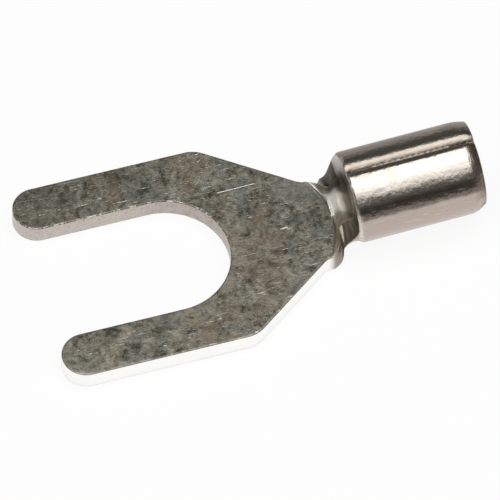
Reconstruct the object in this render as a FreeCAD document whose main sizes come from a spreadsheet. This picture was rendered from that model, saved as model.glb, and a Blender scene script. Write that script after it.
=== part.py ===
import FreeCAD
import Part
import Sketcher
import os
from math import cos, sin
from FreeCAD import Placement, Rotation, Vector

# Non-insulated spade terminal, stamped and rolled from one piece of sheet.
# Origin at the centre of the slot's round end, on the underside.
# +X runs along the part to the wire barrel, +Z is up; sizes in mm.

doc = FreeCAD.newDocument("spade_terminal")

# Driving dimensions
sheet = doc.addObject("Spreadsheet::Sheet", "sizes")
DIMENSIONS = [
    ("sheet_thickness", "0.9"),
    ("fork_width", "9.3"),
    ("slot_width", "5.3"),
    ("tine_reach", "4.4"),
    ("shoulder_start", "2.12"),
    ("shoulder_radius", "1.3"),
    ("taper_angle", "35.9"),
    ("neck_start", "6.4"),
    ("neck_end", "7.7"),
    ("neck_width", "3.86"),
    ("neck_pinch", "0.22"),
    ("neck_lift", "0.27"),
    ("wing_growth", "0.85"),
    ("crease_tip", "6.99"),
    ("barrel_start", "7.62"),
    ("barrel_length", "5.45"),
    ("barrel_radius", "1.92"),
    ("barrel_axis_height", "1.97"),
    ("barrel_rise", "2.5"),
    ("seam_gap", "0.04"),
    ("seam_lip_radius", "0.38"),
    ("mouth_bevel_length", "0.5"),
    ("mouth_bevel_depth", "0.25"),
    ("rear_bevel_length", "0.14"),
    ("rear_bevel_depth", "0.1"),
    ("crease_radius", "4.0"),
    ("crease_depth", "0.05"),
    ("crease_round", "0.12"),
]
for row, (name, value) in enumerate(DIMENSIONS, start=1):
    sheet.set("A%d" % row, name)
    sheet.set("B%d" % row, value)
    sheet.setAlias("B%d" % row, name)
doc.recompute()

body = doc.addObject("PartDesign::Body", "fork_body")
body.Label = "fork"


def plane(owner, role):
    """A body's origin plane with this role."""
    for feature in owner.Origin.OriginFeatures:
        if feature.Role == role:
            return feature
    raise RuntimeError("no origin plane " + role)


def new_sketch(owner, name, role):
    """An empty sketch lying on one of a body's origin planes."""
    sketch = owner.newObject("Sketcher::SketchObject", name)
    sketch.AttachmentSupport = [(plane(owner, role), "")]
    sketch.MapMode = "FlatFace"
    return sketch


def bind(sketch, index, expression):
    """Bind one dimension of a sketch to the sheet."""
    sketch.setExpression("Constraints[%d]" % index, expression)


def line(x1, y1, x2, y2):
    return Part.LineSegment(Vector(x1, y1, 0), Vector(x2, y2, 0))


def arc(cx, cy, radius, start, end):
    """Counter-clockwise arc; angles in degrees."""
    circle = Part.Circle(Vector(cx, cy, 0), Vector(0, 0, 1), radius)
    return Part.ArcOfCircle(circle, start * 3.14159265358979 / 180, end * 3.14159265358979 / 180)


# Fork: half of the flat outline, mirrored about the part's long centre plane
outline = new_sketch(body, "fork_outline", "XY_Plane")
edges = [
    arc(-4.4, 3.65, 1.0, 90, 270),
    line(-4.4, 4.65, 2.12, 4.65),
    arc(2.12, 3.35, 1.3, 54.1, 90),
    line(2.88, 4.4, 6.15, 2.04),
    arc(6.5, 2.53, 0.6, 234.1, 270),
    line(6.5, 1.93, 6.5, 0),
    line(6.5, 0, 2.65, 0),
    arc(0, 0, 2.65, 0, 90),
    line(0, 2.65, -4.4, 2.65),
]
outline.addGeometry(edges, False)
C = Sketcher.Constraint
outline.addConstraint([
    C("Tangent", 0, 1, 1, 1),
    C("Tangent", 1, 2, 2, 2),
    C("Tangent", 2, 1, 3, 1),
    C("Tangent", 3, 2, 4, 1),
    C("Coincident", 4, 2, 5, 1),
    C("Vertical", 4, 3, 4, 2),
    C("Coincident", 5, 2, 6, 1),
    C("Coincident", 6, 2, 7, 1),
    C("Coincident", 7, 3, -1, 1),
    C("Tangent", 7, 2, 8, 1),
    C("Tangent", 8, 2, 0, 2),
    C("Horizontal", 1),
    C("Vertical", 5),
    C("PointOnObject", 5, 2, -1),
    C("PointOnObject", 7, 1, -1),
    C("Horizontal", 8),
])
at = outline.addConstraint(C("Radius", 7, 2.65))
bind(outline, at, "sizes.slot_width / 2")
at = outline.addConstraint(C("DistanceY", -1, 1, 1, 1, 4.65))
bind(outline, at, "sizes.fork_width / 2")
at = outline.addConstraint(C("DistanceX", 0, 3, -1, 1, 4.4))
bind(outline, at, "sizes.tine_reach")
at = outline.addConstraint(C("DistanceX", -1, 1, 1, 2, 2.12))
bind(outline, at, "sizes.shoulder_start")
at = outline.addConstraint(C("Radius", 2, 1.3))
bind(outline, at, "sizes.shoulder_radius")
at = outline.addConstraint(C("Angle", 3, 2, -1, 2, 0.6266))
bind(outline, at, "sizes.taper_angle * 1 deg")
at = outline.addConstraint(C("DistanceX", -1, 1, 5, 1, 6.5))
bind(outline, at, "sizes.neck_start")
at = outline.addConstraint(C("DistanceY", -1, 1, 5, 1, 1.93))
bind(outline, at, "sizes.neck_width / 2")

half_fork = body.newObject("PartDesign::Pad", "half_fork")
half_fork.Profile = outline
half_fork.setExpression("Length", "sizes.sheet_thickness")
doc.recompute()

fork = body.newObject("PartDesign::Mirrored", "fork")
fork.Originals = [half_fork]
fork.MirrorPlane = (plane(body, "XZ_Plane"), [""])
body.Tip = fork
doc.recompute()


# Neck: the strip goes on from the fork with a flat floor that narrows along an
# arc to nothing, while its sides curl up ever tighter, and it is pressed up a
# little before the barrel as a stop for the wire
thickness = sheet.sheet_thickness
half_strip = sheet.neck_width / 2
crease_x = sheet.crease_tip - sheet.crease_radius


def eased(u):
    """0 to 1 with level ends."""
    u = max(0.0, min(1.0, u))
    return u * u * (3 - 2 * u)


def neck_section(x):
    """Closed outline of the sheet across the part at this distance along it."""
    wings = sheet.crease_tip + 0.16
    rise = max(0.0, min(1.0, (x - wings) / (sheet.barrel_start - wings)))
    pinch = sheet.neck_pinch * eased((x - sheet.neck_start - 0.1) / (sheet.crease_tip - sheet.neck_start))
    half_width = half_strip - pinch + sheet.wing_growth * rise ** 2
    tightness = max(0.12, eased((x - sheet.neck_start - 0.1) / 0.75))
    mean_radius = (sheet.barrel_radius - thickness / 2) / tightness
    outer = mean_radius + thickness / 2
    inner = mean_radius - thickness / 2
    base = (sheet.barrel_axis_height - sheet.barrel_radius) * eased(x - sheet.neck_start)
    pressed = eased((x - sheet.neck_start - 0.5) / 0.42) * (1 - eased((x - sheet.neck_end + 0.3) / 0.3))
    centre = base + sheet.neck_lift * pressed + outer
    chord = max(0.0, sheet.crease_radius ** 2 - (x - crease_x) ** 2) ** 0.5
    floor = max(0.03, min(half_width - 0.06, chord))
    curl = (half_width - floor) / mean_radius

    def point(side, radius, angle):
        return Vector(x, side * (floor + radius * sin(angle)), centre - radius * cos(angle))

    def bend(side, radius, first, last):
        middle = point(side, radius, (first + last) / 2)
        return Part.Arc(point(side, radius, first), middle, point(side, radius, last)).toShape()

    return Part.Wire([
        bend(-1, outer, curl, 0),
        Part.makeLine(point(-1, outer, 0), point(1, outer, 0)),
        bend(1, outer, 0, curl),
        Part.makeLine(point(1, outer, curl), point(1, inner, curl)),
        bend(1, inner, curl, 0),
        Part.makeLine(point(1, inner, 0), point(-1, inner, 0)),
        bend(-1, inner, 0, curl),
        Part.makeLine(point(-1, inner, curl), point(-1, outer, curl)),
    ])


STATIONS = 14
sections = []
for number in range(STATIONS + 1):
    along = sheet.neck_start + (sheet.neck_end - sheet.neck_start) * number / STATIONS
    sections.append(neck_section(along))
neck = doc.addObject("Part::Feature", "neck")
neck.Shape = Part.makeLoft(sections, True, False)
neck.Placement = Placement(Vector(0, 0, 0), Rotation())


# Barrel: a ring rolled round the wire, its two edges butted along the top
rolled = doc.addObject("PartDesign::Body", "barrel_body")
rolled.Label = "barrel"
ring = new_sketch(rolled, "barrel_section", "YZ_Plane")
ring.addGeometry([
    arc(0, 0, 1.92, 104.6, 435.4),
    arc(0.4, 1.49, 0.38, 75, 180),
    line(0.02, 1.49, 0.02, 1.02),
    arc(0, 0, 1.02, 91.1, 448.9),
    line(-0.02, 1.02, -0.02, 1.49),
    arc(-0.4, 1.49, 0.38, 0, 105),
], False)
ring.addConstraint([
    C("Coincident", 0, 3, -1, 1),
    C("Coincident", 3, 3, -1, 1),
    C("Tangent", 0, 2, 1, 1),
    C("Tangent", 1, 2, 2, 1),
    C("Coincident", 2, 2, 3, 2),
    C("Coincident", 3, 1, 4, 1),
    C("Tangent", 4, 2, 5, 1),
    C("Tangent", 5, 2, 0, 1),
    C("Vertical", 2),
    C("Vertical", 4),
    C("Equal", 1, 5),
])
at = ring.addConstraint(C("Radius", 0, 1.92))
bind(ring, at, "sizes.barrel_radius")
at = ring.addConstraint(C("Radius", 3, 1.02))
bind(ring, at, "sizes.barrel_radius - sizes.sheet_thickness")
at = ring.addConstraint(C("Radius", 1, 0.38))
bind(ring, at, "sizes.seam_lip_radius")
at = ring.addConstraint(C("DistanceX", -1, 1, 2, 2, 0.02))
bind(ring, at, "sizes.seam_gap / 2")
at = ring.addConstraint(C("DistanceX", 4, 1, -1, 1, 0.02))
bind(ring, at, "sizes.seam_gap / 2")
doc.recompute()

tube = rolled.newObject("PartDesign::Pad", "barrel_tube")
tube.Profile = ring
tube.setExpression("Length", "sizes.barrel_length")
doc.recompute()

# Worn-round outer rims: a long bevel at the mouth, a short one at the rear
rims = new_sketch(rolled, "rim_profiles", "XZ_Plane")
rims.addGeometry([
    line(4.95, 1.92, 5.45, 1.67),
    line(5.45, 1.67, 5.75, 1.67),
    line(5.75, 1.67, 5.75, 2.2),
    line(5.75, 2.2, 4.95, 2.2),
    line(4.95, 2.2, 4.95, 1.92),
    line(0.14, 1.92, 0, 1.82),
    line(0, 1.82, -0.3, 1.82),
    line(-0.3, 1.82, -0.3, 2.2),
    line(-0.3, 2.2, 0.14, 2.2),
    line(0.14, 2.2, 0.14, 1.92),
], False)
for first in (0, 5):
    for step in range(5):
        rims.addConstraint(C("Coincident", first + step, 2, first + (step + 1) % 5, 1))
    rims.addConstraint([
        C("Horizontal", first + 1),
        C("Vertical", first + 2),
        C("Horizontal", first + 3),
        C("Vertical", first + 4),
    ])
for point_of, way, size, expression in [
    (0, "DistanceX", 4.95, "sizes.barrel_length - sizes.mouth_bevel_length"),
    (0, "DistanceY", 1.92, "sizes.barrel_radius"),
    (1, "DistanceX", 5.45, "sizes.barrel_length"),
    (1, "DistanceY", 1.67, "sizes.barrel_radius - sizes.mouth_bevel_depth"),
    (3, "DistanceX", 5.75, "sizes.barrel_length + 0.3"),
    (3, "DistanceY", 2.2, "sizes.barrel_radius + 0.3"),
    (5, "DistanceX", 0.14, "sizes.rear_bevel_length"),
    (5, "DistanceY", 1.92, "sizes.barrel_radius"),
    (6, "DistanceY", 1.82, "sizes.barrel_radius - sizes.rear_bevel_depth"),
    (8, "DistanceY", 2.2, "sizes.barrel_radius + 0.3"),
]:
    at = rims.addConstraint(C(way, -1, 1, point_of, 1, size))
    bind(rims, at, expression)
at = rims.addConstraint(C("PointOnObject", 6, 1, -2))
at = rims.addConstraint(C("DistanceX", 8, 1, -1, 1, 0.3))
doc.recompute()

rounding = rolled.newObject("PartDesign::Groove", "rim_bevels")
rounding.Profile = rims
rounding.ReferenceAxis = (rims, ["H_Axis"])
rounding.Angle = 360
doc.recompute()
if rounding.Shape.Volume > tube.Shape.Volume - 0.5:
    raise RuntimeError("the rim bevels cut nothing")
rolled.setExpression("Placement.Base.x", "sizes.barrel_start")
rolled.setExpression("Placement.Base.z", "sizes.barrel_axis_height")
rolled.Placement.Rotation = Rotation(Vector(0, 1, 0), -sheet.barrel_rise)


# One piece: fork, neck and barrel are the same sheet
blank = doc.addObject("Part::MultiFuse", "one_sheet")
blank.Shapes = [body, neck, rolled]
blank.Refine = False

# Crease pressed across the neck where the flat floor ends
press = doc.addObject("Part::Torus", "crease_tool")
press.setExpression("Radius1", "sizes.crease_radius")
press.setExpression("Radius2", "sizes.crease_round")
press.Angle3 = 62
press.Placement.Rotation = Rotation(Vector(0, 0, 1), -31)
press.setExpression("Placement.Base.x", "sizes.crease_tip - sizes.crease_radius")
press.setExpression("Placement.Base.z", "sizes.sheet_thickness + sizes.crease_round - sizes.crease_depth")

terminal = doc.addObject("Part::Cut", "terminal")
terminal.Label = "spade_terminal"
terminal.Base = blank
terminal.Tool = press
terminal.Refine = False
doc.recompute()


# Checks, then the file
for item in doc.Objects:
    if "Invalid" in item.State or "Error" in item.State:
        raise RuntimeError("failed: " + item.Name)
for item in (outline, ring, rims):
    if item.solve() != 0:
        raise RuntimeError("unsolved: " + item.Name)
shape = terminal.Shape
if shape.isNull() or not shape.isValid():
    raise RuntimeError("the terminal's shape is not valid")
if len(shape.Solids) != 1:
    raise RuntimeError("the terminal is not one solid")
box = shape.optimalBoundingBox(False)
print("solids", len(shape.Solids), "faces", len(shape.Faces), "volume mm3 %.2f" % shape.Volume)
print("x %.3f..%.3f y %.3f..%.3f z %.3f..%.3f" % (box.XMin, box.XMax, box.YMin, box.YMax, box.ZMin, box.ZMax))
pieces_volume = body.Shape.Volume + neck.Shape.Volume + rolled.Shape.Volume
print("before joining %.2f, joined %.2f" % (pieces_volume, blank.Shape.Volume))

os.makedirs("parts", exist_ok=True)
terminal.Shape.exportStep("parts/" + terminal.Label + ".step")
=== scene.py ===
from math import asin, cos, exp, pi, radians, sin, sqrt, tan

import bmesh
import bpy
from mathutils import Matrix, Vector
from mathutils.geometry import delaunay_2d_cdt
from mathutils.kdtree import KDTree


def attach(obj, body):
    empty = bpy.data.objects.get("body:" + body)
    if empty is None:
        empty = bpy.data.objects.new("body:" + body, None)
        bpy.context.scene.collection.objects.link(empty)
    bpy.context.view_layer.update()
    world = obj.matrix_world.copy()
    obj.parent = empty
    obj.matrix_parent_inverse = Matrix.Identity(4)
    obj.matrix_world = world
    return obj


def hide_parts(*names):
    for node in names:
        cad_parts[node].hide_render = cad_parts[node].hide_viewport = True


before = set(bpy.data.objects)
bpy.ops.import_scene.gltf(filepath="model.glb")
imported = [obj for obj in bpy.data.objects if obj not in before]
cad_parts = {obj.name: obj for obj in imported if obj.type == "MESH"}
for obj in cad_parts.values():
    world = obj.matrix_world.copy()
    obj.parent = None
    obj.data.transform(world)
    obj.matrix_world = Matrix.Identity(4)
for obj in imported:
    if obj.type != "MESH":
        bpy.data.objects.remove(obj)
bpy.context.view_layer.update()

bl_info = {
    "name": "Spade terminal",
    "version": (1, 0, 0),
    "blender": (4, 5, 0),
    "location": "3D Viewport > Sidebar > Terminal",
    "description": "Stamps and rolls a bare spade terminal and sets it on a white table",
    "category": "Add Mesh",
}

CAD_NODE = "spade_terminal"
MM = 0.001
BACKDROP_SHARE = 0.9
LAMP_DISTANCE = 0.6
LAMP_WIDTH = 0.9


# Sizes, finishes and stage


class TerminalSizes(bpy.types.PropertyGroup):
    """Sizes of the flat blank and of the way it is rolled"""

    sheet_thickness: bpy.props.FloatProperty(
        name="Sheet thickness", description="Thickness of the copper sheet",
        default=0.0009, unit="LENGTH", precision=5)
    fork_width: bpy.props.FloatProperty(
        name="Fork width", description="Width across the two tines",
        default=0.0093, unit="LENGTH", precision=5)
    slot_width: bpy.props.FloatProperty(
        name="Slot width", description="Opening for the stud, also the diameter of its round end",
        default=0.0053, unit="LENGTH", precision=5)
    tine_reach: bpy.props.FloatProperty(
        name="Tine reach", description="From the slot's centre to the centre of a tine's round tip",
        default=0.0044, unit="LENGTH", precision=5)
    shoulder_start: bpy.props.FloatProperty(
        name="Shoulder start", description="Where the fork's straight side turns into the shoulder",
        default=0.00212, unit="LENGTH", precision=5)
    shoulder_radius: bpy.props.FloatProperty(
        name="Shoulder radius", description="Rounding between the fork's side and its taper",
        default=0.0013, unit="LENGTH", precision=5)
    taper: bpy.props.FloatProperty(
        name="Taper", description="Angle of the fork's sides towards the neck",
        default=radians(35.9), subtype="ANGLE")
    neck_width: bpy.props.FloatProperty(
        name="Neck width", description="Width of the strip between fork and barrel",
        default=0.00386, unit="LENGTH", precision=5)
    neck_start: bpy.props.FloatProperty(
        name="Neck start", description="Where the taper ends and the neck begins",
        default=0.0065, unit="LENGTH", precision=5)
    crease_radius: bpy.props.FloatProperty(
        name="Crease radius", description="Radius of the arc where the flat floor ends",
        default=0.004, unit="LENGTH", precision=5)
    crease_fold: bpy.props.FloatProperty(
        name="Crease fold", description="How sharply the sides bend up along that arc",
        default=radians(9), subtype="ANGLE")
    crease_tip: bpy.props.FloatProperty(
        name="Crease tip", description="Where that arc crosses the part's long centre line",
        default=0.00699, unit="LENGTH", precision=5)
    neck_lift: bpy.props.FloatProperty(
        name="Neck lift", description="How far the neck's floor is pressed up as a stop for the wire",
        default=0.00027, unit="LENGTH", precision=5)
    barrel_start: bpy.props.FloatProperty(
        name="Barrel start", description="Where the barrel's rear rim stands",
        default=0.00762, unit="LENGTH", precision=5)
    barrel_length: bpy.props.FloatProperty(
        name="Barrel length", description="Length of the rolled wire barrel",
        default=0.00545, unit="LENGTH", precision=5)
    barrel_radius: bpy.props.FloatProperty(
        name="Barrel radius", description="Outer radius of the wire barrel",
        default=0.00192, unit="LENGTH", precision=5)
    axis_height: bpy.props.FloatProperty(
        name="Axis height", description="Height of the barrel's axis over the fork's underside",
        default=0.00197, unit="LENGTH", precision=5)
    barrel_rise: bpy.props.FloatProperty(
        name="Barrel rise", description="How far the barrel points up from the fork",
        default=radians(2.5), subtype="ANGLE")
    seam_gap: bpy.props.FloatProperty(
        name="Seam gap", description="Gap between the barrel's two edges along the top",
        default=0.000012, unit="LENGTH", precision=6)
    far_lip: bpy.props.FloatProperty(
        name="Far seam lip", description="Rounding of the barrel's far edge beside the seam",
        default=0.00046, unit="LENGTH", precision=5)
    near_lip: bpy.props.FloatProperty(
        name="Near seam lip", description="Rounding of the barrel's near edge beside the seam",
        default=0.00022, unit="LENGTH", precision=5)
    edge_radius: bpy.props.FloatProperty(
        name="Edge radius", description="Rounding that tumbling and plating leave on every edge",
        default=0.00005, unit="LENGTH", precision=5)


class TinSettings(bpy.types.PropertyGroup):
    """Colours of the tin plating"""

    dull_tin: bpy.props.FloatVectorProperty(
        name="Dull tin", description="Colour of the matt plating on the flat fork",
        subtype="COLOR", size=3, min=0.0, max=1.0, default=(0.39, 0.365, 0.30))
    dark_tin: bpy.props.FloatVectorProperty(
        name="Stained tin", description="Colour of the darker blotches and specks",
        subtype="COLOR", size=3, min=0.0, max=1.0, default=(0.07, 0.066, 0.05))
    bright_tin: bpy.props.FloatVectorProperty(
        name="Bright tin", description="Colour of the rolled and rubbed plating",
        subtype="COLOR", size=3, min=0.0, max=1.0, default=(0.50, 0.465, 0.415))
    cut_tin: bpy.props.FloatVectorProperty(
        name="Sheared edge", description="Colour of the plated cut faces",
        subtype="COLOR", size=3, min=0.0, max=1.0, default=(0.50, 0.45, 0.41))
    edge_tin: bpy.props.FloatVectorProperty(
        name="Worn edge", description="Colour of the duller patches on the cut faces",
        subtype="COLOR", size=3, min=0.0, max=1.0, default=(0.41, 0.36, 0.32))
    grain: bpy.props.FloatProperty(
        name="Grain", description="Depth of the fork's fine grain",
        default=0.000012, unit="LENGTH", precision=6)


class StageSettings(bpy.types.PropertyGroup):
    """Camera, lamp and table"""

    azimuth: bpy.props.FloatProperty(
        name="Azimuth", description="Camera direction round the part",
        default=radians(-18.03), subtype="ANGLE")
    elevation: bpy.props.FloatProperty(
        name="Elevation", description="Camera height over the table",
        default=radians(56.85), subtype="ANGLE")
    roll: bpy.props.FloatProperty(
        name="Roll", description="Turn of the picture", default=radians(1.79), subtype="ANGLE")
    distance: bpy.props.FloatProperty(
        name="Distance", description="Camera distance", default=0.4168, unit="LENGTH")
    target: bpy.props.FloatVectorProperty(
        name="Target", description="Point of the table in the middle of the picture",
        subtype="XYZ", unit="LENGTH", size=3, default=(0.003558, -0.000103, 0.0))
    lens: bpy.props.FloatProperty(
        name="Lens", description="Focal length in millimetres", default=737.28)
    table_colour: bpy.props.FloatVectorProperty(
        name="Table colour", description="Colour of the table", subtype="COLOR",
        size=3, min=0.0, max=1.0, default=(0.92, 0.92, 0.92))
    lamp_radiance: bpy.props.FloatProperty(
        name="Lamp level", description="Brightness of each of the lamp's three nested faces", default=0.88)


# Arithmetic with nodes


class Value:
    """A number flowing through a node tree, so that a rule reads as arithmetic"""

    def __init__(self, tree, socket):
        self.tree = tree
        self.socket = socket

    def combine(self, operation, *others):
        node = self.tree.nodes.new("ShaderNodeMath")
        node.operation = operation
        for slot, value in zip(node.inputs, (self,) + others):
            feed(self.tree, slot, value)
        return Value(self.tree, node.outputs[0])

    def __add__(self, other):
        return self.combine("ADD", other)

    def __radd__(self, other):
        return self.combine("ADD", other)

    def __sub__(self, other):
        return self.combine("SUBTRACT", other)

    def __rsub__(self, other):
        return self.combine("MULTIPLY_ADD", -1.0, other)

    def __mul__(self, other):
        return self.combine("MULTIPLY", other)

    def __truediv__(self, other):
        return self.combine("DIVIDE", other)

    def __neg__(self):
        return self.combine("MULTIPLY", -1.0)

    def sin(self):
        return self.combine("SINE")

    def cos(self):
        return self.combine("COSINE")

    def root(self):
        return self.combine("SQRT")

    def abs(self):
        return self.combine("ABSOLUTE")

    def sign(self):
        return self.combine("SIGN")

    def at_least(self, other):
        return self.combine("MAXIMUM", other)

    def at_most(self, other):
        return self.combine("MINIMUM", other)

    def under(self, other):
        return self.combine("LESS_THAN", other)

    def step(self, low, high):
        """0 below low and 1 above high, with level ends."""
        node = self.tree.nodes.new("ShaderNodeMapRange")
        node.interpolation_type = "SMOOTHSTEP"
        feed(self.tree, node.inputs["Value"], self)
        feed(self.tree, node.inputs["From Min"], low)
        feed(self.tree, node.inputs["From Max"], high)
        return Value(self.tree, node.outputs["Result"])

    def fade(self, low, high):
        """1 below low and 0 above high."""
        return 1.0 - self.step(low, high)

    def band(self, low, full, still_full, high):
        """0 outside low and high, and 1 from full to still_full."""
        return self.step(low, full) * self.fade(still_full, high)


def feed(tree, socket, value):
    """Link a value or a socket to an input, or write a plain number there."""
    if isinstance(value, Value):
        tree.links.new(value.socket, socket)
    elif isinstance(value, bpy.types.NodeSocket):
        tree.links.new(value, socket)
    else:
        socket.default_value = value


# The flat blank


def turn(cx, cy, radius, start, end, spacing):
    """Points of an arc without its last one; angles in degrees, spacing in mm."""
    steps = max(3, int(round(abs(end - start) * pi / 180 * radius / spacing)))
    angles = [radians(start + (end - start) * k / steps) for k in range(steps)]
    return [(cx + radius * cos(a), cy + radius * sin(a)) for a in angles]


def run(x1, y1, x2, y2, spacing):
    """Points of a straight line without its last one."""
    length = sqrt((x2 - x1) ** 2 + (y2 - y1) ** 2)
    steps = max(1, int(round(length / spacing)))
    return [(x1 + (x2 - x1) * k / steps, y1 + (y2 - y1) * k / steps) for k in range(steps)]


def eased(u):
    u = max(0.0, min(1.0, u))
    return u * u * (3 - 2 * u)


class Blank:
    """Half widths and depths of the flat blank, in mm: x along it, s across it, t through it"""

    def __init__(self, sizes):
        self.thickness = sizes.sheet_thickness / MM
        self.half_fork = sizes.fork_width / 2 / MM
        self.slot = sizes.slot_width / 2 / MM
        self.reach = sizes.tine_reach / MM
        self.shoulder = sizes.shoulder_start / MM
        self.shoulder_radius = sizes.shoulder_radius / MM
        self.taper = sizes.taper
        self.half_neck = sizes.neck_width / 2 / MM
        self.neck = sizes.neck_start / MM
        self.crease = sizes.crease_radius / MM
        self.crease_tip = sizes.crease_tip / MM
        self.crease_x = self.crease_tip - self.crease
        self.start = sizes.barrel_start / MM
        self.end = self.start + sizes.barrel_length / MM
        self.mean_barrel = sizes.barrel_radius / MM - self.thickness / 2
        self.lips = {1: sizes.far_lip / MM, -1: sizes.near_lip / MM}
        gap = asin(sizes.seam_gap / 2 / MM / self.mean_barrel)
        self.half_barrel = self.mean_barrel * (pi - gap)
        self.edge = sizes.edge_radius / MM
        self.rear = 0.17  # rounding of the barrel's rear rim

    def from_crease(self, x, s):
        """Distance past the crease's arc; points on the flat fork are below 0."""
        return sqrt((x - self.crease_x) ** 2 + s * s) - self.crease

    def wing(self, x):
        """Half width of the neck, whose sides widen towards the barrel."""
        widest_growth, deepest_pinch = 0.85, 0.22
        narrowest = self.crease_tip + 0.16
        rise = max(0.0, (x - narrowest) / (self.start - narrowest))
        pinch = deepest_pinch * eased((x - self.neck) / (self.crease_tip + 0.1 - self.neck))
        return self.half_neck - pinch + widest_growth * rise ** 2

    def outline(self):
        """One side of the outline, from the mouth's middle round to the slot's end."""
        low, high, corner, fillet = self.start, self.end, 0.06, 0.6
        flap = self.half_barrel
        points = run(high, 0, high, flap - 0.12, 0.12)
        points += turn(high - corner, flap - corner, corner, 0, 90, 0.03)
        points += run(high - corner, flap, low + corner, flap, 0.25)
        points += turn(low + corner, flap - corner, corner, 90, 180, 0.03)
        join = self.wing(low - 0.02)
        points += run(low, flap - corner, low, join + 0.12, 0.12)
        steps = 34
        for k in range(steps):
            x = low - 0.02 - (low - 0.02 - self.neck) * (k / steps) ** 1.3
            points.append((x, self.wing(x)))
        bottom = self.half_neck + fillet
        down = -90 - self.taper * 180 / pi
        points += turn(self.neck, bottom, fillet, -90, down, 0.08)
        a = radians(down)
        x1, y1 = self.neck + fillet * cos(a), bottom + fillet * sin(a)
        up = pi / 2 - self.taper
        cx, cy = self.shoulder, self.half_fork - self.shoulder_radius
        x2, y2 = cx + self.shoulder_radius * cos(up), cy + self.shoulder_radius * sin(up)
        points += run(x1, y1, x2, y2, 0.25)
        points += turn(cx, cy, self.shoulder_radius, up * 180 / pi, 90, 0.08)
        points += run(cx, self.half_fork, -self.reach, self.half_fork, 0.3)
        tip = (self.half_fork - self.slot) / 2
        points += turn(-self.reach, self.half_fork - tip, tip, 90, 270, 0.08)
        points += run(-self.reach, self.slot, 0, self.slot, 0.3)
        points += turn(0, 0, self.slot, 90, 0, 0.1)
        points.append((self.slot, 0.0))
        return points

    def under(self, x, s):
        """How far the outer face is set back at a point: seam lips, round mouth and rear rim."""
        if x < self.start - 0.02:
            return 0.0
        across = abs(s)
        size = self.lips[1 if s > 0 else -1]
        lip = max(0.0, min(size, across - (self.half_barrel - size)))
        lip_drop = size - sqrt(max(0.0, size ** 2 - lip ** 2))
        mouth_depth, mouth_length = 0.25, 0.66
        mouth = mouth_depth * max(0.0, (x - self.end + mouth_length) / mouth_length) ** 1.9
        mouth *= 1 - 0.6 * eased(s - 2.4)
        back = max(0.0, self.rear - max(0.0, x - self.start))
        rear = self.rear - sqrt(self.rear ** 2 - back ** 2)
        rear *= eased((across - self.wing(self.start)) / 0.3)
        return min(sqrt(lip_drop ** 2 + mouth ** 2 + rear ** 2), self.thickness * 0.55)

    def over(self, x, s):
        """How far the inner face is set back at a point: below 0, where the crease's ridge stands up."""
        if x < self.neck - 0.3:
            return 0.0
        ridge_height, ridge_width, ridge_offset = 0.035, 0.055, 0.04
        ridge = exp(-((self.from_crease(x, s) - ridge_offset) / ridge_width) ** 2)
        return -ridge_height * ridge * (0.35 + 0.65 * eased(s + 0.5))


def crease_stations(blank):
    """Rows of points along the crease's arc, each with the room that it keeps round it."""
    stations = []
    for away in (-0.24, -0.17, -0.12, -0.09, -0.06, -0.03, 0.0, 0.03, 0.06, 0.09, 0.13, 0.18, 0.25):
        radius = blank.crease + away
        for k in range(-40, 41):
            angle = k / 40 * 0.52
            stations.append((blank.crease_x + radius * cos(angle), radius * sin(angle), 0.02))
    return stations


def barrel_stations(blank):
    """Points of neck and barrel, closest at the seam's lips and the mouth."""
    across = []
    s = 0.0
    while s < blank.half_barrel - max(blank.lips.values()):
        across += [s, -s] if s else [s]
        s += 0.12
    for side, size in blank.lips.items():
        for share in (0.0, 0.2, 0.4, 0.6, 0.75, 0.88):
            across.append(side * (blank.half_barrel - size * (1 - share)))
    # one more row keeps the near flap round, because its short lip starts late
    across.append(0.34 - blank.half_barrel)
    along = []
    x = blank.neck + 0.3
    while x < blank.start + 0.3:
        along.append(x)
        x += 0.06
    while x < blank.end - 0.7:
        along.append(x)
        x += 0.25
    along += [blank.end - back for back in (0.66, 0.56, 0.47, 0.38, 0.29, 0.2, 0.13)]
    return [(x, s, 0.03) for x in along for s in across if blank.from_crease(x, s) > 0.3]


def fork_stations(blank):
    """A wide grid of points on the flat fork."""
    stations = []
    x = -blank.reach - 1.0
    while x < blank.neck + 0.4:
        s = -blank.half_fork
        while s <= blank.half_fork:
            if x < blank.neck - 0.3 or blank.from_crease(x, s) < -0.3:
                stations.append((x, s, 0.12))
            s += 0.3
        x += 0.3
    return stations


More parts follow.
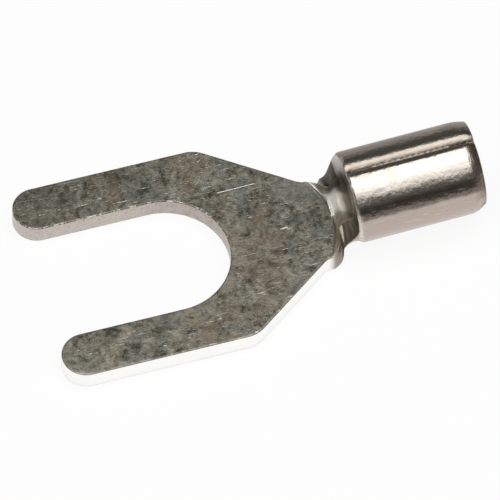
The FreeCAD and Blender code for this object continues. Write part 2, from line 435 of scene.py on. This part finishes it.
def blank_mesh(blank):
    """The flat blank as one closed mesh with rounded edges; x, s and t stand in its X, Y and Z."""
    half = blank.outline()
    ring = half + [(x, -s) for x, s in reversed(half[1:-1])]
    count = len(ring)
    inward = []
    for k in range(count):
        before, here, after = Vector(ring[k - 1]), Vector(ring[k]), Vector(ring[(k + 1) % count])
        side = (here - before).normalized() + (after - here).normalized()
        side.normalize()
        inward.append(Vector((-side.y, side.x)))

    def inset(distance):
        return [Vector(ring[k]) + inward[k] * distance for k in range(count)]

    r = blank.edge
    rim = inset(r)
    near = inset(r + 0.035)
    border = KDTree(count)
    taken = KDTree(count * 2)
    for k in range(count):
        border.insert((ring[k][0], ring[k][1], 0), k)
        taken.insert((near[k].x, near[k].y, 0), k)
        taken.insert((rim[k].x, rim[k].y, 0), k)
    border.balance()
    taken.balance()

    points = rim + near
    for x, s, room in crease_stations(blank) + barrel_stations(blank) + fork_stations(blank):
        _, number, distance = border.find((x, s, 0))
        is_inside = (Vector((x, s)) - Vector(ring[number])).dot(inward[number]) > 0
        if is_inside and distance >= r + room and taken.find((x, s, 0))[2] >= room:
            points.append(Vector((x, s)))
    verts, _, faces, origin, _, _ = delaunay_2d_cdt(points, [], [list(range(count))], 1, 1e-6)

    bm = bmesh.new()
    cut = bm.verts.layers.float.new("cut")
    rub = bm.verts.layers.float.new("rub")
    half_t = blank.thickness / 2

    def top(x, s):
        return half_t - blank.over(x, s)

    def low(x, s):
        return -half_t + blank.under(x, s)

    def add(x, s, t, cut_share):
        vert = bm.verts.new((x * MM, s * MM, t * MM))
        vert[cut] = cut_share
        vert[rub] = max(0.0, 1.0 - border.find((x, s, 0))[2] / 0.3)
        return vert

    upper = [add(v.x, v.y, top(v.x, v.y), 0.0) for v in verts]
    lower = [add(v.x, v.y, low(v.x, v.y), 0.0) for v in verts]
    for face in faces:
        bm.faces.new([upper[k] for k in face])
        bm.faces.new([lower[k] for k in reversed(face)])
    made_from = {old: new for new, olds in enumerate(origin) for old in olds}

    def rounding(angles, height):
        """Rings of the rounded edge; the ring at 90 degrees already belongs to the sheared wall."""
        found = []
        for angle in angles:
            a = radians(angle)
            found.append([
                add(p.x, p.y, height(rim[k].x, rim[k].y, r * (1 - cos(a))), 1.0 if angle == 90 else 0.3)
                for k, p in enumerate(inset(r * (1 - sin(a))))])
        return found

    rings = [[upper[made_from[k]] for k in range(count)]]
    rings += rounding((30, 60, 90), lambda x, s, fall: top(x, s) - fall)
    for share in (0.33, 0.67):
        rings.append([
            add(ring[k][0], ring[k][1],
                (top(rim[k].x, rim[k].y) - r) * (1 - share) + (low(rim[k].x, rim[k].y) + r) * share, 1.0)
            for k in range(count)])
    rings += rounding((90, 60, 30), lambda x, s, fall: low(x, s) + fall)
    rings.append([lower[made_from[k]] for k in range(count)])
    for one, two in zip(rings, rings[1:]):
        for k in range(count):
            n = (k + 1) % count
            bm.faces.new((one[n], one[k], two[k], two[n]))
    bm.normal_update()
    bm.verts.index_update()
    mesh = bpy.data.meshes.new("flat_blank")
    bm.to_mesh(mesh)
    bm.free()
    mesh.shade_smooth()
    return mesh


# Rolling the blank


def rolling_tree(material):
    """Geometry Nodes: rolls the flat blank by one rule into fork, neck and barrel."""
    tree = bpy.data.node_groups.new("Roll the blank", "GeometryNodeTree")
    face = tree.interface
    face.new_socket("Geometry", in_out="INPUT", socket_type="NodeSocketGeometry")
    for name in ("Thickness", "Neck start", "Crease centre", "Crease radius", "Crease fold", "Neck lift",
                 "Barrel start", "Barrel radius", "Axis height", "Barrel rise"):
        face.new_socket(name, in_out="INPUT", socket_type="NodeSocketFloat")
    face.new_socket("Geometry", in_out="OUTPUT", socket_type="NodeSocketGeometry")
    source = tree.nodes.new("NodeGroupInput")
    sink = tree.nodes.new("NodeGroupOutput")

    def given(name):
        return Value(tree, source.outputs[name])

    place = tree.nodes.new("GeometryNodeInputPosition")
    split = tree.nodes.new("ShaderNodeSeparateXYZ")
    tree.links.new(place.outputs[0], split.inputs[0])
    x, s, t = (Value(tree, split.outputs[k]) for k in range(3))
    neck, barrel, outer_radius = given("Neck start"), given("Barrel start"), given("Barrel radius")
    half = given("Thickness") * 0.5

    # the flat floor ends at the crease; past it the sheet curls, ever tighter towards the barrel
    reach = x - given("Crease centre")
    chord = (given("Crease radius") * given("Crease radius") - reach * reach).at_least(0.0).root()
    floor = chord + x.under(neck) * 0.02
    tight = x.step(neck + 0.00015, barrel - 0.00035)
    radius = (outer_radius - half) / tight.at_least(0.02)
    width = s.abs()
    past = (width - floor).at_least(0.0)
    fold = past.step(0.0, 0.00012) * x.step(neck, neck + 0.0002)
    fold = fold * x.fade(barrel - 0.0007, barrel - 0.0003) * given("Crease fold")
    curl = past / radius + fold
    side = s.sign() * (width.at_most(floor) + (radius - t) * curl.sin() - radius * fold.sin())
    drop = (radius - t) * curl.cos() + radius * (1.0 - fold.cos())

    # the floor is pressed up before the barrel, which then points up by its rise
    base = (given("Axis height") - outer_radius) * x.step(neck, neck + 0.001)
    pressed = x.step(barrel - 0.00057, barrel - 0.00022) * x.fade(barrel - 0.00008, barrel + 0.0003)
    pressed = pressed * width.fade(0.0018, 0.0030)
    axis = half + base + radius + given("Neck lift") * pressed
    pitch = given("Barrel rise") * x.step(neck, barrel)
    beyond = (x - barrel).at_least(0.0)
    along = x - beyond + beyond * pitch.cos() - (radius - drop) * pitch.sin() + outer_radius * pitch.sin()
    height = axis - drop + beyond * pitch.sin()

    join = tree.nodes.new("ShaderNodeCombineXYZ")
    for slot, value in zip(join.inputs, (along, side, height)):
        feed(tree, slot, value)
    keep = tree.nodes.new("GeometryNodeStoreNamedAttribute")
    keep.data_type = "FLOAT_VECTOR"
    keep.domain = "POINT"
    keep.inputs["Name"].default_value = "blank"
    move = tree.nodes.new("GeometryNodeSetPosition")
    real = tree.nodes.new("GeometryNodeRealizeInstances")
    plate = tree.nodes.new("GeometryNodeSetMaterial")
    plate.inputs["Material"].default_value = material
    tree.links.new(source.outputs["Geometry"], keep.inputs["Geometry"])
    tree.links.new(place.outputs[0], keep.inputs["Value"])
    tree.links.new(keep.outputs["Geometry"], move.inputs["Geometry"])
    tree.links.new(join.outputs[0], move.inputs["Position"])
    tree.links.new(move.outputs["Geometry"], real.inputs[0])
    tree.links.new(real.outputs[0], plate.inputs["Geometry"])
    tree.links.new(plate.outputs["Geometry"], sink.inputs["Geometry"])
    return tree


def set_input(modifier, name, value):
    """Give a modifier's input its value by the socket's identifier."""
    for item in modifier.node_group.interface.items_tree:
        if item.item_type == "SOCKET" and item.in_out == "INPUT" and item.name == name:
            modifier[item.identifier] = value
            return
    raise RuntimeError("no input called " + name)


# Colours on the plating, as linear red, green and blue; some are painted highlights, shade and reflections
WARM_CLOUD = (0.27, 0.215, 0.16)
COLD_CLOUD = (0.20, 0.22, 0.20)
PEPPER = (0.04, 0.036, 0.028)
SWIRL = (0.045, 0.04, 0.03)
PALE_DASH = (0.88, 0.85, 0.78)
SCRATCH_AND_GLINT = (0.86, 0.84, 0.8)
STREAK = (0.36, 0.31, 0.26)
NEAR_FLANK_REFLECTION = (0.47, 0.39, 0.345)
INNER_FACE = (0.62, 0.57, 0.47)
FAR_HOLLOW_SHADE = (0.10, 0.085, 0.06)
CREASE_HIGHLIGHT = (0.92, 0.89, 0.82)
TROUGH_HIGHLIGHT = (0.97, 0.95, 0.9)
NEAR_TROUGH_SHADE = (0.42, 0.355, 0.28)
PRESSED_FLOOR_HIGHLIGHT = (0.97, 0.93, 0.84)
REAR_RIM_HIGHLIGHT = (0.82, 0.77, 0.68)
BROWN_STAIN_AND_SHADE = (0.15, 0.11, 0.078)
FLANK_DARK_REFLECTION = (0.13, 0.11, 0.088)
EDGE_SPECK = (0.13, 0.10, 0.075)
TINE_EDGE = (0.63, 0.575, 0.52)
EDGE_GRAIN = (0.26, 0.22, 0.185)
NEAR_EDGE_REFLECTION = (0.985, 0.98, 0.96)
NEAR_WING = (0.33, 0.28, 0.225)
FAR_WING_SHADE = (0.06, 0.052, 0.036)
REAR_EDGE = (0.32, 0.27, 0.205)
SEAM_GAP_SHADE = (0.12, 0.10, 0.08)
DARK_EDGE_LINE = (0.12, 0.095, 0.07)
CORNER_SHINE = (0.85, 0.80, 0.70)


class Painter:
    """Short ways to add nodes to one material"""

    def __init__(self, tree):
        self.tree = tree

    def attribute(self, name, output):
        node = self.tree.nodes.new("ShaderNodeAttribute")
        node.attribute_name = name
        return node.outputs[output]

    def scaled(self, vector, scale, turned=(0, 0, 0)):
        node = self.tree.nodes.new("ShaderNodeMapping")
        node.inputs["Scale"].default_value = scale
        node.inputs["Rotation"].default_value = turned
        self.tree.links.new(vector, node.inputs["Vector"])
        return node.outputs[0]

    def noise(self, vector, scale, detail=2.0, rough=0.5, warp=0.0):
        node = self.tree.nodes.new("ShaderNodeTexNoise")
        self.tree.links.new(vector, node.inputs["Vector"])
        node.inputs["Scale"].default_value = scale
        node.inputs["Detail"].default_value = detail
        node.inputs["Roughness"].default_value = rough
        node.inputs["Distortion"].default_value = warp
        return Value(self.tree, node.outputs[0])

    def mix(self, share, one, two):
        node = self.tree.nodes.new("ShaderNodeMix")
        node.data_type = "RGBA"
        feed(self.tree, node.inputs["Factor"], share)
        for slot, colour in ((node.inputs[6], one), (node.inputs[7], two)):
            if isinstance(colour, bpy.types.NodeSocket):
                self.tree.links.new(colour, slot)
            else:
                slot.default_value = tuple(colour) + (1.0,)
        return node.outputs[2]

    def bump(self, height):
        node = self.tree.nodes.new("ShaderNodeBump")
        node.inputs["Strength"].default_value = 1.0
        node.inputs["Distance"].default_value = 1.0
        feed(self.tree, node.inputs["Height"], height)
        return node.outputs[0]


class Skin:
    """Places on the sheet, in mm, and the textures that its finishes share"""

    def __init__(self, paint, blank):
        grow = paint.tree.nodes.new("ShaderNodeVectorMath")
        grow.operation = "SCALE"
        grow.inputs["Scale"].default_value = 1 / MM
        paint.tree.links.new(paint.attribute("blank", "Vector"), grow.inputs[0])
        self.where = grow.outputs[0]
        split = paint.tree.nodes.new("ShaderNodeSeparateXYZ")
        paint.tree.links.new(self.where, split.inputs[0])
        self.x, self.s, self.t = (Value(paint.tree, split.outputs[k]) for k in range(3))
        self.past_rim = self.x - blank.start
        self.cut = Value(paint.tree, paint.attribute("cut", "Fac"))
        self.rub = Value(paint.tree, paint.attribute("rub", "Fac"))

        reach = self.x - blank.crease_x
        self.past_crease = (reach * reach + self.s * self.s).root() - blank.crease
        self.rolled = self.past_crease.step(-0.06, 0.0) * self.x.step(5.6, 5.8)
        self.flat = 1.0 - self.rolled
        self.sheared = self.cut.step(0.55, 0.8)
        self.inner = self.t.step(0.1, 0.3)
        self.outer = 1.0 - self.inner
        self.tine = (-self.x).step(0.5, 4.8)

        self.blotch = paint.noise(self.where, 1.1, 4.0, 0.6, 0.3)
        self.mottle = paint.noise(self.where, 5.0, 4.0, 0.65)
        self.fine = paint.noise(self.where, 15.0, 3.0, 0.7)
        self.cloud = paint.noise(self.where, 2.3, 3.0, 0.6, 0.6)
        self.speck = paint.noise(self.where, 8.0, 2.0, 0.6).step(0.62, 0.7)
        self.streak = paint.noise(paint.scaled(self.where, (0.35, 7.0, 1.0)), 1.0, 3.0, 0.6)
        self.smear = paint.noise(self.where, 1.6, 4.0, 0.6)
        self.pit = paint.noise(self.where, 6.0, 3.0, 0.6)


def scratches_and_glint(paint, skin):
    """Fine lengthwise lines, one long scored line on the far shoulder, and a glint in the fork's middle
    that is a painted highlight.
    """
    lines = None
    for scale, turned, size, level in (
            ((1.1, 26.0, 1.0), 0.02, 1.0, 0.735),
            ((0.9, 22.0, 1.0), -0.12, 1.13, 0.74),
            ((1.4, 30.0, 1.0), 0.28, 1.26, 0.75)):
        moved = paint.scaled(skin.where, scale, (0, 0, turned))
        line = paint.noise(moved, size, 1.0, 0.4).step(level - 0.02, level + 0.03)
        lines = line if lines is None else lines.at_least(line)
    lines = lines * (1.0 - skin.tine * 0.7)
    long_scratch = (skin.s - 2.352 - (skin.x - 2.83) * 0.015).abs().fade(0.012, 0.032)
    long_scratch = long_scratch * skin.x.band(2.8, 2.95, 4.35, 4.55)
    # painted highlight: a short pale glint on the flat middle of the fork
    glint = (skin.s + 0.04).abs().fade(0.02, 0.06) * skin.x.band(4.78, 4.88, 5.12, 5.2)
    return lines.at_least(long_scratch).at_least(glint * skin.mottle.step(0.42, 0.52))


def fork_finish(paint, skin, settings):
    """Colour of the fork's matt tin, and its pale dashes."""
    x, s, tine, cloud = skin.x, skin.s, skin.tine, skin.cloud
    tone = skin.blotch.step(0.36, 0.62) * 0.34 + cloud.step(0.36, 0.64) * 0.36
    tone = tone + skin.mottle.step(0.4, 0.6) * 0.34 + skin.fine.step(0.4, 0.6) * 0.2
    tone = tone - 0.13 - tine * 0.06 - cloud.fade(0.33, 0.42) * 0.22
    tone = tone + tine * (-s).step(1.0, 4.4) * 0.2 - (-x).step(-3.0, 1.0) * s.step(1.0, 4.4) * 0.22
    tone = tone + ((0.34 - tone) * 0.45 - (-x).step(1.5, 5.0) * 0.04) * tine * s.step(0.0, 2.0)
    colour = paint.mix(tone.at_least(0.0).at_most(1.0), settings.dark_tin, settings.dull_tin)

    warm = paint.noise(skin.where, 0.75, 3.0, 0.6, 0.5)
    colour = paint.mix(warm.step(0.5, 0.62) * (1.0 - tine * 0.6) * 0.4, colour, WARM_CLOUD)
    colour = paint.mix(warm.fade(0.38, 0.48) * (1.0 - tine * 0.7) * 0.4, colour, COLD_CLOUD)
    colour = paint.mix(skin.speck * 0.35, colour, PEPPER)
    swirl = (paint.noise(skin.where, 1.3, 1.0, 0.4, 0.6) - 0.5).abs().fade(0.003, 0.012)
    colour = paint.mix(swirl * cloud.step(0.45, 0.6) * 0.55, colour, SWIRL)
    dash = paint.noise(paint.scaled(skin.where, (1.6, 6.5, 1.0), (0, 0, 0.08)), 1.0, 2.0, 0.6)
    pale = dash.step(0.66, 0.73) * cloud.step(0.4, 0.6)
    return paint.mix(pale * 0.75, colour, PALE_DASH), pale


def rolled_finish(paint, skin, settings, blank):
    """Colour and roughness of the glossy tin on neck and barrel, with painted highlights, shade and
    reflections in its colour.
    """
    x, s, past_rim, past_crease = skin.x, skin.s, skin.past_rim, skin.past_crease
    inner, outer = skin.inner, skin.outer
    colour = paint.mix(skin.streak.step(0.3, 0.75) * 0.35 + skin.smear.step(0.45, 0.75) * 0.25,
                       settings.bright_tin, STREAK)
    # painted reflection: the outer near side of the barrel is tinted pinker, for the warm table it mirrors
    colour = paint.mix((-s).band(0.8, 2.0, 3.1, 3.6) * outer * 0.8, colour, NEAR_FLANK_REFLECTION)
    colour = paint.mix(inner * 0.8, colour, INNER_FACE)

    # the trough of the neck
    neck = past_rim.fade(-0.07, 0.18)
    # painted shade: the far inside of the neck's trough is darkened
    hollow_shade = inner * s.step(1.0, 1.6) * past_rim.band(-0.67, -0.47, -0.06, 0.0)
    colour = paint.mix(hollow_shade * 0.8, colour, FAR_HOLLOW_SHADE)
    # painted highlight: a bright line along the crease's lip, which is also made glossier
    crease_highlight = past_crease.band(-0.06, 0.0, 0.06, 0.12) * inner
    colour = paint.mix(crease_highlight * s.step(-0.6, 0.4) * 0.8, colour, CREASE_HIGHLIGHT)
    # painted highlight: a near-white area in the trough just past the crease
    trough_highlight = inner * past_crease.step(0.05, 0.12) * past_rim.fade(-0.37, -0.07) * s.band(-0.3, 0.5, 1.1, 1.5)
    colour = paint.mix(trough_highlight * (0.7 + skin.mottle * 0.4), colour, TROUGH_HIGHLIGHT)
    # painted shade: the near inner side of the trough is darker and browner
    near = inner * neck * s.fade(-0.8, 0.1)
    colour = paint.mix(near * 0.7, colour, NEAR_TROUGH_SHADE)
    # painted highlight: the pressed-up floor just before the barrel is near white
    floor = inner * past_rim.band(-0.32, -0.17, 0.18, 0.28) * s.band(-0.6, 0.2, 0.9, 1.2)
    colour = paint.mix(floor * 0.9, colour, PRESSED_FLOOR_HIGHLIGHT)

    # the barrel's rear rim with mottled painted highlights; brown staining at the mouth; painted shade on
    # the far side and beside the seam; a painted dark reflection on the near side
    rim = past_rim.band(-0.07, 0.0, 0.06, 0.2) * outer * skin.mottle.step(0.4, 0.55)
    colour = paint.mix(rim * 0.7, colour, REAR_RIM_HIGHLIGHT)
    seam = (s.abs() - blank.half_barrel).step(-0.55, -0.1) * (1.0 - skin.sheared)
    far = s.step(2.3, 3.0) * outer
    mouth = (x + skin.pit * 0.3).step(blank.end - 0.4, blank.end + 0.05)
    # painted shade darkens the far side of the barrel's top and its far lip by the seam; by the mouth the
    # brown is staining
    stain_and_shade = far * s.fade(3.6, 4.3) * 0.85
    stain_and_shade = stain_and_shade.at_least(far * seam * 0.55).at_least(mouth * skin.smear.step(0.3, 0.6) * 0.8)
    colour = paint.mix(stain_and_shade, colour, BROWN_STAIN_AND_SHADE)
    # painted dark reflection: a brown band along the barrel's near side widens its dark band
    flank_dark_reflection = (-s + (skin.smear - 0.5) * 0.2).band(2.84, 2.96, 3.25, 3.45)
    colour = paint.mix(flank_dark_reflection * outer * past_rim.step(0.08, 0.28) * 0.75, colour, FLANK_DARK_REFLECTION)

    gloss = 0.14 + skin.streak * 0.1 + skin.smear * 0.08 + inner.at_least(neck) * 0.2 + inner * neck * 0.08
    gloss = gloss + trough_highlight.at_least(floor).at_least(near) * 0.25 + stain_and_shade * 0.12 - crease_highlight * 0.24
    return colour, gloss


def sheared_finish(paint, skin, settings, blank):
    """Colour of the plated faces that the punch left, with a painted reflection on the near side and
    painted shade on the neck's far side and in the seam's gap.
    """
    x, s, t, past_rim = skin.x, skin.s, skin.t, skin.past_rim
    worn = paint.noise(skin.where, 4.0, 3.0, 0.6).step(0.35, 0.7)
    colour = paint.mix(worn, settings.cut_tin, settings.edge_tin)
    colour = paint.mix(skin.speck * t.step(-0.1, 0.35) * 0.7, colour, EDGE_SPECK)
    colour = paint.mix((-x).step(-1.5, 1.5) * 0.6, colour, TINE_EDGE)
    colour = paint.mix(skin.speck * t.step(-0.3, 0.3) * 0.6, colour, EDGE_SPECK)
    colour = paint.mix(skin.fine.step(0.5, 0.62) * 0.4, colour, EDGE_GRAIN)
    # painted reflection: the cut faces on the near side are near white, as if mirroring the lit table
    near_side_reflection = (-s).step(3.2, 3.6).at_least(x.step(2.68, 2.74) * (-s).step(1.5, 1.8))
    colour = paint.mix(near_side_reflection * x.fade(6.3, 6.75), colour, NEAR_EDGE_REFLECTION)
    # the neck's cut faces: brown on the near side, and near black, as painted shade, on the far side
    wing = (past_rim + (-s).step(0.0, 0.4) * 0.25).step(-0.87, -0.67) * past_rim.fade(-0.12, -0.06)
    wing_colour = paint.mix(s.step(-0.2, 0.2), NEAR_WING, FAR_WING_SHADE)
    colour = paint.mix(skin.sheared * wing, colour, wing_colour)
    back = past_rim.band(-0.12, -0.06, 0.04, 0.08) * (1.0 - s.band(0.0, 0.4, 3.6, 3.9))
    colour = paint.mix(skin.sheared * back, colour, REAR_EDGE)
    # painted shade: the cut faces inside the seam's gap are dark
    gap = s.abs().step(4.2, 4.4) * past_rim.step(-0.02, 0.03) * x.fade(blank.end - 0.03, blank.end)
    return paint.mix(skin.sheared * gap, colour, SEAM_GAP_SHADE)


def tin_plating(settings, blank):
    """Tin on copper: matt and mottled on the flat fork, glossy where the sheet was rolled."""
    material = bpy.data.materials.new("tin_plating")
    material.use_nodes = True
    tree = material.node_tree
    shader = tree.nodes["Principled BSDF"]
    paint = Painter(tree)
    skin = Skin(paint, blank)
    rolled, flat, mottle = skin.rolled, skin.flat, skin.mottle
    scratch_and_glint = scratches_and_glint(paint, skin)
    dull, pale = fork_finish(paint, skin, settings)
    bright, gloss = rolled_finish(paint, skin, settings, blank)

    colour = paint.mix(rolled, dull, bright)
    # pale lengthwise lines, and the painted glint highlight
    colour = paint.mix(scratch_and_glint * (1.0 - rolled * 0.6) * 0.9, colour, SCRATCH_AND_GLINT)
    colour = paint.mix(skin.rub.step(0.6, 1.0) * flat * 0.15, colour, settings.bright_tin)
    # a darker mottled line along the fork's rounded edges on the far half; on the top edges, a mottled
    # painted highlight as well
    corner = skin.cut.band(0.08, 0.25, 0.6, 0.9) * flat * skin.s.step(-2.0, 0.0)
    colour = paint.mix(corner * mottle.step(0.35, 0.5) * 0.7, colour, DARK_EDGE_LINE)
    shine = corner * skin.t.step(0.0, 0.1) * mottle.step(0.5, 0.56)
    colour = paint.mix(shine * 0.8, colour, CORNER_SHINE)
    colour = paint.mix(skin.sheared, colour, sheared_finish(paint, skin, settings, blank))
    tree.links.new(colour, shader.inputs["Base Color"])

    matt = 0.42 + skin.blotch * 0.18 - pale * 0.12 - scratch_and_glint * 0.2
    rough = matt + (gloss - matt) * rolled
    rough = rough + (0.34 - rough) * skin.sheared
    tree.links.new(rough.socket, shader.inputs["Roughness"])
    shader.inputs["Metallic"].default_value = 1.0

    grain = paint.noise(skin.where, 14.0, 3.0, 0.65) + mottle * 0.8
    wave = paint.noise(paint.scaled(skin.where, (0.7, 1.1, 1.0)), 0.9, 2.0, 0.5)
    height = (grain - scratch_and_glint * 0.6) * flat * settings.grain
    height = height + rolled * (wave * 0.00003 + skin.streak * 0.000002 + skin.pit * 0.00002)
    tree.links.new(paint.bump(height), shader.inputs["Normal"])
    return material


def table_finish(settings):
    """White table: lit as paper, and mostly plain white to the camera and in reflections."""
    material = bpy.data.materials.new("white_table")
    material.use_nodes = True
    tree = material.node_tree
    tree.nodes.clear()
    out = tree.nodes.new("ShaderNodeOutputMaterial")
    matt = tree.nodes.new("ShaderNodeBsdfDiffuse")
    matt.inputs["Color"].default_value = tuple(settings.table_colour) + (1.0,)
    glow = tree.nodes.new("ShaderNodeEmission")
    glow.inputs["Color"].default_value = (1.0, 1.0, 1.0, 1.0)
    glow.inputs["Strength"].default_value = 1.0
    light = tree.nodes.new("ShaderNodeLightPath")
    seen = Value(tree, light.outputs["Is Camera Ray"]).at_least(
        Value(tree, light.outputs["Is Glossy Ray"])).at_least(
        Value(tree, light.outputs["Is Transmission Ray"]))
    mix = tree.nodes.new("ShaderNodeMixShader")
    feed(tree, mix.inputs[0], seen * BACKDROP_SHARE)
    tree.links.new(matt.outputs[0], mix.inputs[1])
    tree.links.new(glow.outputs[0], mix.inputs[2])
    tree.links.new(mix.outputs[0], out.inputs["Surface"])
    return material


# Operators and panel


class TERMINAL_OT_sheet(bpy.types.Operator):
    """Stamp the blank, roll it into the terminal and plate it with tin"""

    bl_idname = "terminal.sheet"
    bl_label = "Terminal"

    def execute(self, context):
        sizes = context.scene.terminal_sizes
        settings = context.scene.terminal_tin
        blank = Blank(sizes)
        material = tin_plating(settings, blank)
        flat = bpy.data.objects.new("flat_blank", blank_mesh(blank))
        context.scene.collection.objects.link(flat)
        roll = flat.modifiers.new("roll", "NODES")
        roll.node_group = rolling_tree(material)
        for name, value in (
                ("Thickness", sizes.sheet_thickness),
                ("Neck start", sizes.neck_start - 0.0001),
                ("Crease centre", sizes.crease_tip - sizes.crease_radius),
                ("Crease radius", sizes.crease_radius),
                ("Crease fold", sizes.crease_fold),
                ("Neck lift", sizes.neck_lift),
                ("Barrel start", sizes.barrel_start),
                ("Barrel radius", sizes.barrel_radius),
                ("Axis height", sizes.axis_height),
                ("Barrel rise", sizes.barrel_rise)):
            set_input(roll, name, value)
        context.view_layer.update()
        shape = flat.evaluated_get(context.evaluated_depsgraph_get())
        mesh = bpy.data.meshes.new_from_object(shape)
        mesh.name = "rolled_terminal"
        bpy.data.objects.remove(flat)
        piece = bpy.data.objects.new("rolled_terminal", mesh)
        context.scene.collection.objects.link(piece)
        mesh.materials.clear()
        mesh.materials.append(material)
        if len(mesh.polygons) < 1000:
            raise RuntimeError("the blank wasn't rolled")
        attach(piece, "root")
        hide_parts(CAD_NODE)
        return {"FINISHED"}


class TERMINAL_OT_stage(bpy.types.Operator):
    """Lay the white table, hang the soft lamp and set the camera"""

    bl_idname = "terminal.stage"
    bl_label = "Table, lamp and camera"

    def execute(self, context):
        scene = context.scene
        settings = scene.terminal_stage

        mesh = bpy.data.meshes.new("table")
        half, deep = 1.2, 0.01
        bm = bmesh.new()
        under_zero = Matrix.Translation((0, 0, -deep / 2)) @ Matrix.Diagonal((half * 2, half * 2, deep, 1))
        bmesh.ops.create_cube(bm, size=1.0, matrix=under_zero)
        bm.to_mesh(mesh)
        bm.free()
        table = bpy.data.objects.new("table", mesh)
        mesh.materials.append(table_finish(settings))
        scene.collection.objects.link(table)

        centre = Vector((0.0036, 0, 0))
        # three nested lamps; each spans these degrees from straight above, counted towards -Y
        for name, low, high in (("inner_lamp", -20, 20), ("middle_lamp", -20, 36), ("outer_lamp", -20, 47)):
            depth = 2 * LAMP_DISTANCE * tan(radians(high - low) / 2)
            lamp(scene, name, centre, -radians(high + low) / 2, depth, settings.lamp_radiance)

        world = bpy.data.worlds.new("dim_room")
        scene.world = world
        world.use_nodes = True
        back = world.node_tree.nodes["Background"]
        back.inputs["Color"].default_value = (0.10, 0.098, 0.092, 1.0)
        back.inputs["Strength"].default_value = 1.0

        data = bpy.data.cameras.new("camera")
        data.sensor_width = 36.0
        data.lens = settings.lens
        data.clip_start, data.clip_end = 0.01, 10.0
        camera = bpy.data.objects.new("camera", data)
        scene.collection.objects.link(camera)
        a, e, turned = settings.azimuth, settings.elevation, settings.roll
        back = Vector((sin(a) * cos(e), -cos(a) * cos(e), sin(e)))
        level = Vector((cos(a), sin(a), 0))
        rise = back.cross(level)
        right = level * cos(turned) + rise * sin(turned)
        up = rise * cos(turned) - level * sin(turned)
        pose = Matrix((right, up, back)).transposed().to_4x4()
        pose.translation = Vector(settings.target) + back * settings.distance
        camera.matrix_world = pose
        scene.camera = camera

        scene.view_settings.view_transform = "Standard"
        return {"FINISHED"}


def lamp(scene, name, target, tilt, depth, radiance):
    """A rectangular soft lamp aimed at a point; tilt is its angle from straight above about X."""
    data = bpy.data.lights.new(name, "AREA")
    data.shape = "RECTANGLE"
    data.size, data.size_y = LAMP_WIDTH, depth
    data.energy = radiance * LAMP_WIDTH * depth * pi
    lamp_object = bpy.data.objects.new(name, data)
    away = Vector((0.0, sin(tilt), cos(tilt)))
    turned = away.to_track_quat("Z", "Y").to_matrix().to_4x4()
    lamp_object.matrix_world = Matrix.Translation(target + away * LAMP_DISTANCE) @ turned
    scene.collection.objects.link(lamp_object)


class TERMINAL_PT_panel(bpy.types.Panel):
    """Buttons for the stage and the terminal, and their settings"""

    bl_idname = "TERMINAL_PT_panel"
    bl_label = "Spade terminal"
    bl_space_type = "VIEW_3D"
    bl_region_type = "UI"
    bl_category = "Terminal"

    def draw(self, context):
        layout = self.layout
        layout.operator(TERMINAL_OT_stage.bl_idname)
        layout.operator(TERMINAL_OT_sheet.bl_idname)
        scene = context.scene
        for group in (scene.terminal_sizes, scene.terminal_tin, scene.terminal_stage):
            box = layout.box()
            for name in group.__annotations__:
                box.prop(group, name)


CLASSES = (TerminalSizes, TinSettings, StageSettings,
           TERMINAL_OT_sheet, TERMINAL_OT_stage, TERMINAL_PT_panel)


def register():
    for item in CLASSES:
        bpy.utils.register_class(item)
    bpy.types.Scene.terminal_sizes = bpy.props.PointerProperty(type=TerminalSizes)
    bpy.types.Scene.terminal_tin = bpy.props.PointerProperty(type=TinSettings)
    bpy.types.Scene.terminal_stage = bpy.props.PointerProperty(type=StageSettings)


def unregister():
    del bpy.types.Scene.terminal_stage
    del bpy.types.Scene.terminal_tin
    del bpy.types.Scene.terminal_sizes
    for item in reversed(CLASSES):
        bpy.utils.unregister_class(item)


def main():
    register()
    bpy.ops.terminal.stage()
    bpy.ops.terminal.sheet()


if __name__ == "__main__":
    main()
